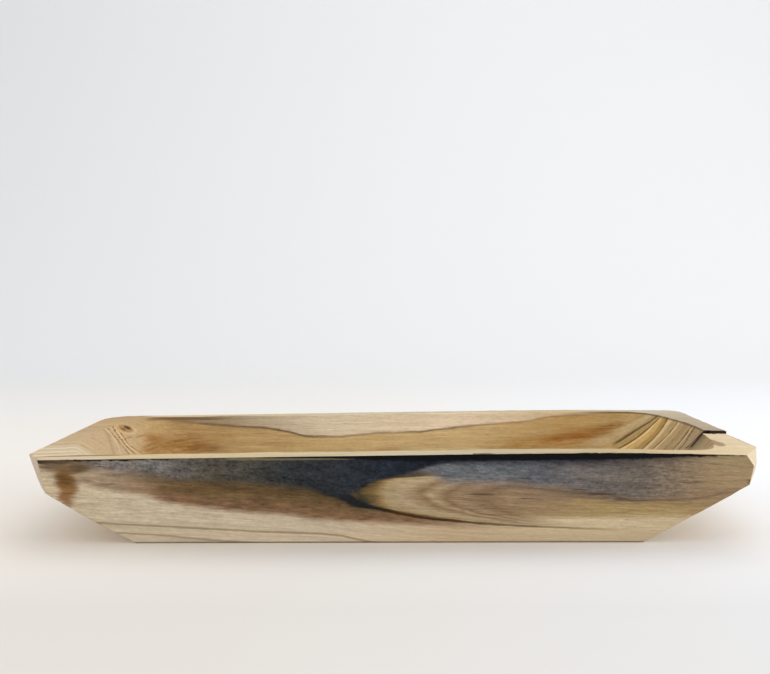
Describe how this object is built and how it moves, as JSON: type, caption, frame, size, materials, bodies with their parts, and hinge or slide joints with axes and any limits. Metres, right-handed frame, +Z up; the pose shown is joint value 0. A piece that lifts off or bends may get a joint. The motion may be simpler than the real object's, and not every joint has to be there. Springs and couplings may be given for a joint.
{
  "type": "dough bowl",
  "caption": "Long shallow rectangular dough bowl carved from one block of pale wood, with leaning sides, sloping ends, an open hollow and a split in one lip.",
  "frame": {"origin": "middle of the footprint, on the flat base that it rests on", "axes": "+X along the grain and the long sides, towards the end with the split lip; +Y to the far long side; +Z up"},
  "size_m": [0.5188, 0.2334, 0.0688],
  "materials": {
    "scorched_wood": "dry carved wood, partly scorched"
  },
  "bodies": {
    "root": {"bowl": "scorched_wood"}
  },
  "joints": []
}
